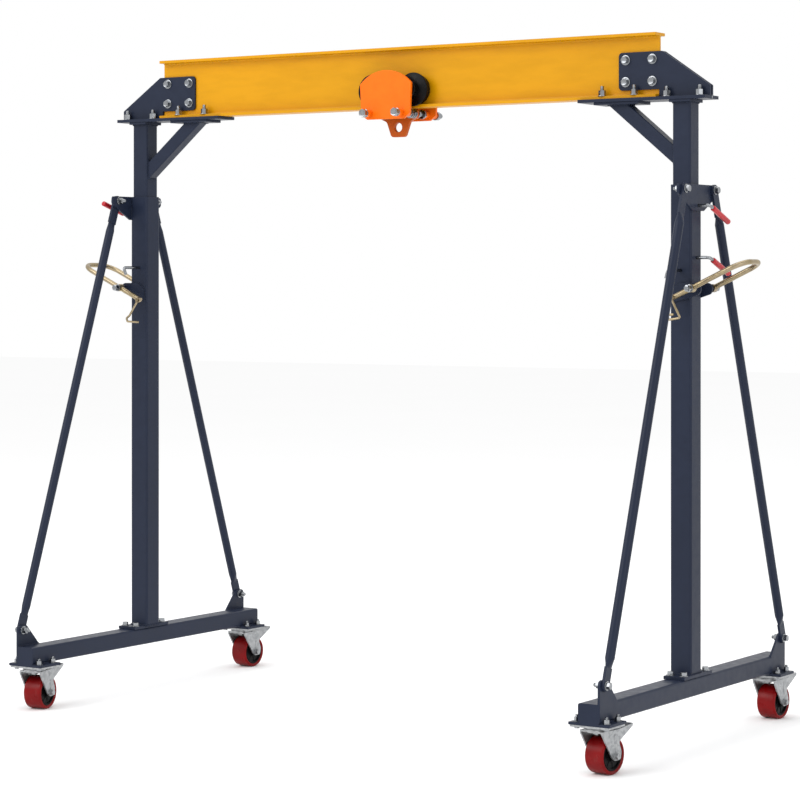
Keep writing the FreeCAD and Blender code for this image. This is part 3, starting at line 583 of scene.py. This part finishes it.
class CRANE_OT_web_bolts(bpy.types.Operator):
    """Bolt each head's gussets through the beam's web"""

    bl_idname = "crane.web_bolts"
    bl_label = "Web bolts"

    def execute(self, context):
        sizes = context.scene.crane_hardware
        head = head_set(sizes.web_bolt, sizes.web_washer)
        nut = nut_set(sizes.web_bolt, sizes.web_washer, 6 * MM)
        y = middle_y()
        underside = box_of("i_beam")[0].z
        for side, sign in SIDES:
            spots = [(post_x(side) - sign * inboard, underside + rise)
                     for inboard in WEB_BOLTS_INBOARD for rise in WEB_BOLTS_RISE]
            turns = spins(len(spots))
            heads = copies(head, [turned((x, y - WEB_FACE, z), -Y_AXIS, t)
                                  for (x, z), t in zip(spots, turns)])
            nuts = copies(nut, [turned((x, y + WEB_FACE, z), Y_AXIS, t)
                                for (x, z), t in zip(spots, turns)])
            finish_piece(joined(heads + nuts, f"{side}_web_bolts"), "top_frame",
                         FINISHES["bolt"])
        scrap(head, nut)
        return {"FINISHED"}


class CRANE_OT_head_studs(bpy.types.Operator):
    """Bolt the beam and the head plate together with upright studs"""

    bl_idname = "crane.head_studs"
    bl_label = "Head studs"

    def execute(self, context):
        sizes = context.scene.crane_hardware
        nut = nut_set(sizes.stud_nut, sizes.stud_nut * 1.35, 13 * MM)
        y = middle_y()
        beam_low, beam_high = box_of("i_beam")
        plate_top = beam_low.z
        for side, sign in SIDES:
            spots = []
            for step in range(STUDS):
                x = post_x(side) + sign * (FIRST_STUD - STUD_PITCH * step)
                seat = plate_top + FLANGE if abs(x) < beam_high.x else plate_top
                spots += [(x, y + row, seat) for row in (-STUD_ROW, STUD_ROW)]
            made = copies(nut, [turned(p, Z_AXIS, t) for p, t in zip(spots, spins(len(spots)))])
            finish_piece(joined(made, f"{side}_head_studs"), "top_frame",
                         FINISHES["bolt"])
        scrap(nut)
        return {"FINISHED"}


# ------------------------------------------------------------------ legs

# Places across a leg are measured outwards from the post's middle.
BRACE_OUTER_FACE = 50 * MM
BRACE_INNER_FACE = 35 * MM
YOKE_BOLT_ALONG, YOKE_BOLT_DROP = 98 * MM, 15 * MM
LUG_BOLT_INSET, LUG_BOLT_RISE = 26 * MM, 51 * MM
FOOT_PLATE = 10 * MM
FOOT_MIDDLE = 7 * MM
FOOT_BOLT_ACROSS, FOOT_BOLT_ALONG = 22 * MM, 72 * MM


class CRANE_OT_leg_bolts(bpy.types.Operator):
    """Bolt the braces to the yokes and lugs, and the posts' feet to the base beams"""

    bl_idname = "crane.leg_bolts"
    bl_label = "Leg bolts"

    def execute(self, context):
        sizes = context.scene.crane_hardware
        head = head_set(sizes.brace_bolt, sizes.brace_bolt * 1.5)
        nut = nut_set(sizes.brace_bolt, sizes.brace_bolt * 1.5, 9 * MM)
        foot = head_set(sizes.foot_bolt, sizes.foot_bolt * 1.55)
        y = middle_y()
        for side, sign in SIDES:
            outwards = X_AXIS * sign
            x = post_x(side)
            outer, inner = x + sign * BRACE_OUTER_FACE, x + sign * BRACE_INNER_FACE
            yoke_top = box_of(f"{side}_yoke")[1].z
            foot_low = box_of(f"{side}_outer_post")[0].z
            lug_along = y - box_of(f"{side}_base_beam")[0].y - LUG_BOLT_INSET
            spots = [(y + end * YOKE_BOLT_ALONG, yoke_top - YOKE_BOLT_DROP) for _, end in ENDS]
            spots += [(y + end * lug_along, foot_low + LUG_BOLT_RISE) for _, end in ENDS]
            turns = spins(len(spots))
            made = copies(head, [turned((outer, v, z), outwards, t)
                                 for (v, z), t in zip(spots, turns)])
            made += copies(nut, [turned((inner, v, z), -outwards, t)
                                 for (v, z), t in zip(spots, turns)])
            finish_piece(joined(made, f"{side}_brace_bolts"), "legs", FINISHES["bolt"])
            corners = [(across, along) for along in (-1, 1) for across in (-1, 1)]
            places = [turned((x + sign * FOOT_MIDDLE + across * FOOT_BOLT_ACROSS,
                              y + along * FOOT_BOLT_ALONG, foot_low + FOOT_PLATE), Z_AXIS, t)
                      for (across, along), t in zip(corners, turns)]
            feet = joined(copies(foot, places), f"{side}_foot_bolts")
            finish_piece(feet, "legs", FINISHES["bolt"])
        scrap(head, nut, foot)
        return {"FINISHED"}


# ------------------------------------------------------------------ casters

# Places in a caster's own frame: its swivel axis up, and its wheel trailing to +Y.
PAD = 8 * MM
PAD_BOLT_ACROSS, PAD_BOLT_ALONG = 48 * MM, 33 * MM
TRAIL = 34 * MM
FORK_FACE = 40 * MM
CROWN_DROP, CROWN = 10 * MM, 5 * MM
RACE_STEP = 5 * MM
PEDAL_BEND, PEDAL_LENGTH, PEDAL_RISE = 52 * MM, 63 * MM, 9 * MM
RIDGE_START, RIDGE_PITCH, RIDGES = 82 * MM, 8 * MM, 4
RIB_TURN = 0.13
SHOE_TURN, ARM_TURN = -0.35, 0.1
HUB_DISC_FACE, HUB_RIM_FACE = 24 * MM, 28 * MM
HUB_RIBS = 8


def caster_place(side, end):
    """The matrix from a caster's own frame to its place on the crane."""
    swivel = JOINTS[f"{side}_{end}_caster_swivel"]["pos_m"]
    axle = JOINTS[f"{side}_{end}_caster_roll"]["axis"]
    turn = math.atan2(axle[1], axle[0])
    return Matrix.Translation((swivel[0], swivel[1], 0)) @ Matrix.Rotation(turn, 4, "Z")


def axle_height():
    return JOINTS["left_front_caster_roll"]["pos_m"][2]


def disc(radius, low, high, bevel, segments=40):
    """A turned disc along Z with rounded rims."""
    bpy.ops.mesh.primitive_cylinder_add(
        vertices=segments, radius=radius, depth=high - low, location=(0, 0, (low + high) / 2))
    item = settle(active())
    bevelled(item, bevel)
    return item


def block(size, place, bevel, turn=0.0):
    """A rectangular block with rounded edges, turned about X."""
    bpy.ops.mesh.primitive_cube_add(size=1, location=(0, 0, 0))
    item = active()
    item.scale = size
    item = settle(item)
    bevelled(item, bevel)
    item.data.transform(Matrix.Translation(place) @ Matrix.Rotation(turn, 4, "X"))
    return item


def torus(radius, thickness, segments, x):
    """A moulded ring round the axle."""
    bpy.ops.mesh.primitive_torus_add(
        major_radius=radius, minor_radius=thickness, major_segments=segments, minor_segments=8,
        location=(x, TRAIL, axle_height()), rotation=(0, math.radians(90), 0))
    return settle(active())


def fit_casters(body_ending, *fittings):
    """Put a copy of each (model, label, slot) on every caster's swivel or wheel."""
    for side, _ in SIDES:
        for end, _ in ENDS:
            body = f"{side}_{end}_{body_ending}"
            for model, label, slot in fittings:
                item = copies(model, [caster_place(side, end)])[0]
                item.name = item.data.name = f"{body}_{label}"
                finish_piece(item, body, FINISHES[slot])
    scrap(*(model for model, _, _ in fittings))


class CRANE_OT_caster_bolts(bpy.types.Operator):
    """Bolt the casters' top plates to the pads"""

    bl_idname = "crane.caster_bolts"
    bl_label = "Caster bolts"

    def execute(self, context):
        sizes = context.scene.crane_hardware
        nut = nut_set(sizes.caster_bolt, sizes.caster_bolt * 1.6, 7 * MM)
        head = hexagon(sizes.caster_bolt, 5.5 * MM)
        for side, _ in SIDES:
            plate_low, plate_high = box_of(f"{side}_caster_top_plates")
            under, top = plate_low.z, plate_high.z + PAD
            made = []
            for end, _ in ENDS:
                x, y, _ = JOINTS[f"{side}_{end}_caster_swivel"]["pos_m"]
                spots = [(x + a * PAD_BOLT_ACROSS, y + b * PAD_BOLT_ALONG)
                         for a in (-1, 1) for b in (-1, 1)]
                turns = spins(len(spots))
                made += copies(nut, [turned((u, v, top), Z_AXIS, t)
                                     for (u, v), t in zip(spots, turns)])
                made += copies(head, [turned((u, v, under), -Z_AXIS, t)
                                      for (u, v), t in zip(spots, turns)])
            finish_piece(joined(made, f"{side}_caster_bolts"), "legs", FINISHES["bolt"])
        scrap(nut, head)
        return {"FINISHED"}


class CRANE_OT_caster_forks(bpy.types.Operator):
    """Fit each fork's ball race, kingpin, axle heads, brake shoe and pedal ridges"""

    bl_idname = "crane.caster_forks"
    bl_label = "Caster forks"

    def execute(self, context):
        crown_top = box_of("left_caster_top_plates")[0].z - CROWN_DROP
        crown_bottom = crown_top - CROWN
        race_top = crown_top + RACE_STEP
        race = [disc(38.5 * MM, crown_top - 0.2 * MM, race_top, 1.6 * MM),
                disc(36 * MM, race_top, crown_top + 8.4 * MM, 1.0 * MM)]
        king = hexagon(24 * MM, 7 * MM)
        king.data.transform(turned((0, 0, crown_bottom), -Z_AXIS, 0.3))
        king_end = disc(7 * MM, crown_bottom - 10 * MM, crown_bottom - 6 * MM, 1.2 * MM, 24)
        axle_head = head_set(16 * MM, 21 * MM)
        heads = copies(axle_head, [
            turned((-FORK_FACE, TRAIL, axle_height()), -X_AXIS, 0.2),
            turned((FORK_FACE, TRAIL, axle_height()), X_AXIS, 0.5)])
        scrap(axle_head)
        slope = math.atan2(PEDAL_RISE, PEDAL_LENGTH)
        ridges = []
        for step in range(RIDGES):
            y = RIDGE_START + RIDGE_PITCH * step
            z = crown_top + (y - PEDAL_BEND) * math.tan(slope)
            ridges.append(block((58 * MM, 3 * MM, 2 * MM), (0, y, z + 0.4 * MM), 0.8 * MM, slope))
        ribs = [block((2 * MM, 7 * MM, 52 * MM), (x, 32 * MM, 91 * MM), 0.9 * MM, RIB_TURN)
                for x in (-FORK_FACE, FORK_FACE)]
        fittings = joined(race + [king, king_end] + heads + ridges + ribs, "fork_fittings")
        shoe = block((50 * MM, 20 * MM, 9 * MM), (0, 62 * MM, crown_bottom - 7 * MM),
                     2 * MM, SHOE_TURN)
        arm = block((16 * MM, 34 * MM, 4 * MM), (0, 64 * MM, crown_bottom + 0.5 * MM),
                    1 * MM, ARM_TURN)
        brake = joined([shoe, arm], "brake")
        fit_casters("caster", (fittings, "fork_fittings", "zinc"),
                    (brake, "brake_shoe", "wheel_hub"))
        return {"FINISHED"}


class CRANE_OT_caster_wheels(bpy.types.Operator):
    """Give the wheel centres their ribs, and the treads their moulded side rings"""

    bl_idname = "crane.caster_wheels"
    bl_label = "Caster wheels"

    def execute(self, context):
        pieces = []
        rib = block((3.5 * MM, 4.5 * MM, 21 * MM), (0, 0, 27 * MM), 1.0 * MM)
        for face in (-1, 1):
            for step in range(HUB_RIBS):
                around = Matrix.Rotation(math.radians(360 / HUB_RIBS * step + 10), 4, "X")
                middle = Matrix.Translation((face * HUB_DISC_FACE, TRAIL, axle_height()))
                pieces += copies(rib, [middle @ around])
        scrap(rib)
        for face in (-1, 1):
            pieces.append(torus(17.5 * MM, 1.8 * MM, 36, face * HUB_DISC_FACE))
            pieces.append(torus(40 * MM, 1.5 * MM, 48, face * HUB_RIM_FACE))
        fit_casters("caster_wheel", (joined(pieces, "hub_ribs"), "ribs", "wheel_hub"))
        return {"FINISHED"}


# ------------------------------------------------------------------ trolley

ROD_RADIUS = 8 * MM
SIDE_PLATE = 9 * MM
REAR_ROD_END = 38 * MM           # the rear spacers' length
INNER_NUT_FRONT, INNER_NUT_REAR = 28 * MM, 40 * MM
INNER_SLEEVE_FRONT, INNER_SLEEVE_REAR = 40 * MM, 53 * MM
SLEEVE_RADIUS = 11 * MM


class CRANE_OT_trolley_rods(bpy.types.Operator):
    """Fit the trolley's rods with their heads, nuts, spacer tubes and washers"""

    bl_idname = "crane.trolley_rods"
    bl_label = "Trolley rods"

    def execute(self, context):
        wide = context.scene.crane_hardware.rod_nut
        low, high = box_of("trolley_rods")
        plate_low, plate_high = box_of("trolley_side_plates")
        hang_low, hang_high = box_of("load_plate")
        y = middle_y()
        z = (low.z + high.z) / 2
        head = head_set(wide, wide * 1.15)
        nut = nut_set(wide, wide * 1.25, 6 * MM)
        flat_nut = joined([hexagon(wide, wide * 0.5), washer(wide * 1.3, wide * WASHER_SHARE)],
                          "flat_nut")
        front = low.y + wide * (WASHER_SHARE + HEAD_SHARE)
        back = plate_high.y + REAR_ROD_END
        spans = ((front, plate_low.y), (plate_high.y, back),
                 (plate_low.y + SIDE_PLATE, y - INNER_SLEEVE_FRONT),
                 (y + INNER_SLEEVE_REAR, plate_high.y - SIDE_PLATE))
        flat_nuts = ((y - INNER_NUT_FRONT, -Y_AXIS, 0.4), (y + INNER_NUT_REAR, Y_AXIS, 0.9),
                     (hang_high.y, Y_AXIS, 0.1), (hang_low.y, -Y_AXIS, 0.7))
        zinc, sleeves = [], []
        for x in (low.x + ROD_RADIUS, high.x - ROD_RADIUS):
            zinc += copies(head, [turned((x, front, z), -Y_AXIS, x)])
            zinc += copies(nut, [turned((x, back, z), Y_AXIS, x + 1)])
            zinc += copies(flat_nut, [turned((x, v, z), facing, turn)
                                      for v, facing, turn in flat_nuts])
            for start, stop in spans:
                sleeve = disc(SLEEVE_RADIUS, 0, stop - start, 0.8 * MM, 32)
                sleeve.data.transform(turned((x, start, z), Y_AXIS))
                sleeves.append(sleeve)
        scrap(head, nut, flat_nut)
        finish_piece(joined(zinc, "trolley_rod_nuts"), "trolley", FINISHES["bolt"])
        finish_piece(joined(sleeves, "trolley_spacer_tubes"), "trolley",
                     FINISHES["trolley_paint"])
        return {"FINISHED"}


# ------------------------------------------------------------------ lever pivots

PIVOT_END = 83.4 * MM            # end face of a lever's boss, from the post's middle


class CRANE_OT_lever_pivots(bpy.types.Operator):
    """Fit the nuts on the lift levers' pivot studs"""

    bl_idname = "crane.lever_pivots"
    bl_label = "Lever pivots"

    def execute(self, context):
        nut = nut_set(19 * MM, 24 * MM, 3 * MM)
        for side, _ in SIDES:
            pivot = Vector(JOINTS[f"{side}_lever_tilt"]["pos_m"])
            made = copies(nut, [turned(pivot + Y_AXIS * end * PIVOT_END, Y_AXIS * end, 0.3 + end)
                                for _, end in ENDS])
            finish_piece(joined(made, f"{side}_lever_pivot_nuts"), "legs", FINISHES["bolt"])
        scrap(nut)
        return {"FINISHED"}


# ------------------------------------------------------------------ welds

DROP_PITCH = 0.95                # of a bead's size, from one drop to the next


def weld(seams, name, body, size):
    """Rippled weld beads along straight seams, each a row of overlapping drops."""
    bpy.ops.mesh.primitive_uv_sphere_add(segments=8, ring_count=5, radius=size)
    drop = active()
    drop.scale = (0.8, 1.0, 1.0)
    drop = settle(drop)
    rows = []
    for start, end in seams:
        start, end = Vector(start), Vector(end)
        length = (end - start).length
        row = drop.copy()
        row.data = drop.data.copy()
        bpy.context.collection.objects.link(row)
        array = row.modifiers.new("row", "ARRAY")
        array.count = max(2, int(length / (size * DROP_PITCH)))
        array.use_relative_offset = False
        array.use_constant_offset = True
        array.constant_offset_displace = (length / (array.count - 1), 0, 0)
        pick(row)
        bpy.ops.object.modifier_apply(modifier=array.name)
        turn = (end - start).to_track_quat("X", "Z").to_matrix().to_4x4()
        row.data.transform(Matrix.Translation(start) @ turn)
        rows.append(row)
    scrap(drop)
    return finish_piece(joined(rows, name), body, FINISHES["frame_paint"])


def ring(corners):
    """Seams round a closed row of corners."""
    return [(a, b) for a, b in zip(corners, corners[1:] + corners[:1])]


def rectangle(half_u, half_v):
    """The corners of a rectangle, as a closed row."""
    return [(-half_u, -half_v), (half_u, -half_v), (half_u, half_v), (-half_u, half_v)]


def placer(side, sign):
    """A function from millimetres outwards and along, and a height, to a place."""
    x, y = post_x(side), middle_y()

    def at(out, along, z):
        return Vector((x + sign * out * MM, y + along * MM, z))

    return at


class CRANE_OT_leg_welds(bpy.types.Operator):
    """Weld the posts to their feet, and the lugs, pads, yokes and ears to the frame"""

    bl_idname = "crane.leg_welds"
    bl_label = "Leg welds"

    def execute(self, context):
        size = context.scene.crane_hardware.weld_size
        y = middle_y()
        half_post, outer_face = 34, 35
        pad_edges = (-28, 42)
        pad_length, tip_inset = 100, 5
        for side, sign in SIDES:
            at = placer(side, sign)
            foot = box_of(f"{side}_outer_post")[0].z
            yoke_top = box_of(f"{side}_yoke")[1].z
            pad_top = box_of(f"{side}_base_beam")[0].z + PAD
            half = (y - box_of(f"{side}_base_beam")[0].y) / MM
            pivot = JOINTS[f"{side}_lever_tilt"]["pos_m"][2]
            ear_low, ear_bend, ear_top = (pivot + rise * MM for rise in (-41, -6, 16))
            seams = ring([at(a, b, foot + FOOT_PLATE) for a, b in rectangle(half_post, half_post)])
            for _, end in ENDS:
                tip, root = end * (half - tip_inset), end * (half - pad_length)
                ear = end * outer_face
                for across in pad_edges:
                    seams.append((at(across, tip, pad_top), at(across, root, pad_top)))
                seams += [
                    (at(outer_face, tip, foot), at(outer_face, root, foot)),
                    (at(half_post, end * 30, yoke_top - 4 * MM),
                     at(half_post, end * 33, yoke_top - 74 * MM)),
                    (at(-25, ear, ear_low), at(-25, ear, ear_bend)),
                    (at(-25, ear, ear_bend), at(0, ear, ear_top)),
                    (at(2, ear, ear_top), at(29, ear, ear_top))]
            weld(seams, f"{side}_leg_welds", "legs", size)
        return {"FINISHED"}


class CRANE_OT_head_welds(bpy.types.Operator):
    """Weld the gussets, cap plates and knee braces of the heads"""

    bl_idname = "crane.head_welds"
    bl_label = "Head welds"

    def execute(self, context):
        size = context.scene.crane_hardware.weld_size * 0.9
        plate_top = box_of("i_beam")[0].z
        inner_half, inner_face = 29, 30
        gusset_in, gusset_out = -82, 84
        cap_plate = 8 * MM
        knee_drop, knee_reach = 157, 189
        for side, sign in SIDES:
            at = placer(side, sign)
            cap = box_of(f"{side}_knee_brace")[1].z - cap_plate
            seams = ring([at(a, b, cap - 1 * MM) for a, b in rectangle(inner_half, inner_half)])
            for _, end in ENDS:
                face = end * WEB_FACE / MM
                seams.append((at(gusset_in, face, plate_top), at(gusset_out, face, plate_top)))
            seams += ring([at(-inner_face, a, cap + (b - knee_drop) * MM)
                           for a, b in rectangle(21, 28)])
            seams += ring([at(a - inner_face - knee_reach, b, cap)
                           for a, b in rectangle(34, 21)])
            weld(seams, f"{side}_head_welds", "top_frame", size)
        return {"FINISHED"}


class CRANE_OT_bright_flake(bpy.types.Operator):
    """Set a small, thin bright zinc flake on the right head plate's end"""

    bl_idname = "crane.chip"
    bl_label = "Bright flake"

    def execute(self, context):
        plate_end = box_of("right_head_bracket")[1].x
        plate_top = box_of("i_beam")[0].z
        corners, flatness, bevel = 11, 0.55, 0.85
        depth = (0, 0, 0.06)
        bpy.ops.mesh.primitive_circle_add(vertices=corners, radius=1, fill_type="NGON")
        flake = settle(active())
        for step, vertex in enumerate(flake.data.vertices):
            reach = 1.0 + 0.28 * math.sin(step * 2.3) + 0.15 * math.cos(step * 4.1)
            vertex.co = (vertex.co.x * reach, vertex.co.y * reach * flatness, 0)
        editing(flake)
        bpy.ops.mesh.select_all(action="SELECT")
        bpy.ops.mesh.extrude_region_move(TRANSFORM_OT_translate={"value": depth})
        bpy.ops.transform.resize(value=(bevel, bevel, 1), center_override=depth)
        bpy.ops.mesh.select_all(action="SELECT")
        bpy.ops.mesh.normals_make_consistent(inside=False)
        done()
        size = Matrix.Diagonal((6 * MM, 6 * MM, 2 * MM, 1))
        place = turned((plate_end, middle_y() + 4 * MM, plate_top - 4 * MM), X_AXIS,
                       math.radians(90))
        # A small, thin flake with the bright zinc finish, standing on the plate's end face.
        flake.data.transform(place @ size)
        flake.name = flake.data.name = "right_head_bright_flake"
        finish_piece(flake, "top_frame", FINISHES["bolt"])
        return {"FINISHED"}


# ------------------------------------------------------------------ studio

# Name, place, aim, watts, and size as a share of the key light's.
LAMPS = (
    ("key", (-3.5, -6.5, 6.0), (0, 0, 1.0), 260, 1.0),
    ("fill", (7.0, -3.0, 3.0), (0, 0, 1.2), 60, 0.8),
    ("top", (0, 0.5, 6.5), (0, 0, 0), 120, 1.0),
)


class CRANE_OT_studio(bpy.types.Operator):
    """Build the pale floor, the soft lights and the camera"""

    bl_idname = "crane.studio"
    bl_label = "Studio"

    def execute(self, context):
        studio = context.scene.crane_studio
        deselect()
        bpy.ops.mesh.primitive_plane_add(size=60, location=(0, 0, -0.4 * MM))
        floor = settle(active())
        floor.name = "floor"
        ground = Finish("pale_floor", (0.965, 0.965, 0.965), 0.9, sheen=0.0)
        ground.tint(ground.noise(0.6, detail=2.0), dark=0.995, light=1.0)
        floor.data.materials.append(ground.material)

        world = bpy.data.worlds.new("white_room")
        world.use_nodes = True
        back = world.node_tree.nodes["Background"]
        back.inputs["Color"].default_value = (1, 1, 1, 1)
        back.inputs["Strength"].default_value = studio.sky
        context.scene.world = world

        for name, place, aim, power, share in LAMPS:
            bpy.ops.object.light_add(type="AREA", location=place)
            lamp = active()
            lamp.name = name
            lamp.data.energy = power
            lamp.data.size = studio.softness * share
            facing = (Vector(aim) - Vector(place)).to_track_quat("-Z", "Y")
            lamp.rotation_euler = facing.to_euler()

        bpy.ops.object.camera_add(location=studio.eye)
        camera = active()
        camera.rotation_euler = (math.radians(90), 0, studio.azimuth)
        camera.data.lens = studio.lens
        camera.data.sensor_width = 36
        camera.data.shift_y = studio.shift
        camera.data.clip_end = 200
        context.scene.camera = camera
        context.scene.view_settings.view_transform = "Standard"
        return {"FINISHED"}


OPERATORS = (
    CRANE_OT_finish_frame, CRANE_OT_web_bolts, CRANE_OT_head_studs, CRANE_OT_leg_bolts,
    CRANE_OT_caster_bolts, CRANE_OT_caster_forks, CRANE_OT_caster_wheels,
    CRANE_OT_trolley_rods, CRANE_OT_lever_pivots, CRANE_OT_leg_welds, CRANE_OT_head_welds,
    CRANE_OT_bright_flake, CRANE_OT_studio,
)


class CRANE_PT_panel(bpy.types.Panel):
    """Builds the crane's parts one by one"""

    bl_idname = "CRANE_PT_panel"
    bl_label = "Gantry crane"
    bl_space_type = "VIEW_3D"
    bl_region_type = "UI"
    bl_category = "Crane"

    def draw(self, context):
        for operator in OPERATORS:
            self.layout.operator(operator.bl_idname)


GROUPS = {"crane_hardware": CraneHardware, "crane_colours": CraneColours,
          "crane_studio": CraneStudio}


def register():
    for group in GROUPS.values():
        bpy.utils.register_class(group)
    for operator in OPERATORS:
        bpy.utils.register_class(operator)
    bpy.utils.register_class(CRANE_PT_panel)
    for name, group in GROUPS.items():
        setattr(bpy.types.Scene, name, PointerProperty(type=group))


def unregister():
    for name in GROUPS:
        delattr(bpy.types.Scene, name)
    bpy.utils.unregister_class(CRANE_PT_panel)
    for operator in reversed(OPERATORS):
        bpy.utils.unregister_class(operator)
    for group in reversed(GROUPS.values()):
        bpy.utils.unregister_class(group)


def main():
    register()
    for operator in OPERATORS:
        group, name = operator.bl_idname.split(".")
        getattr(getattr(bpy.ops, group), name)()


if __name__ == "__main__":
    main()
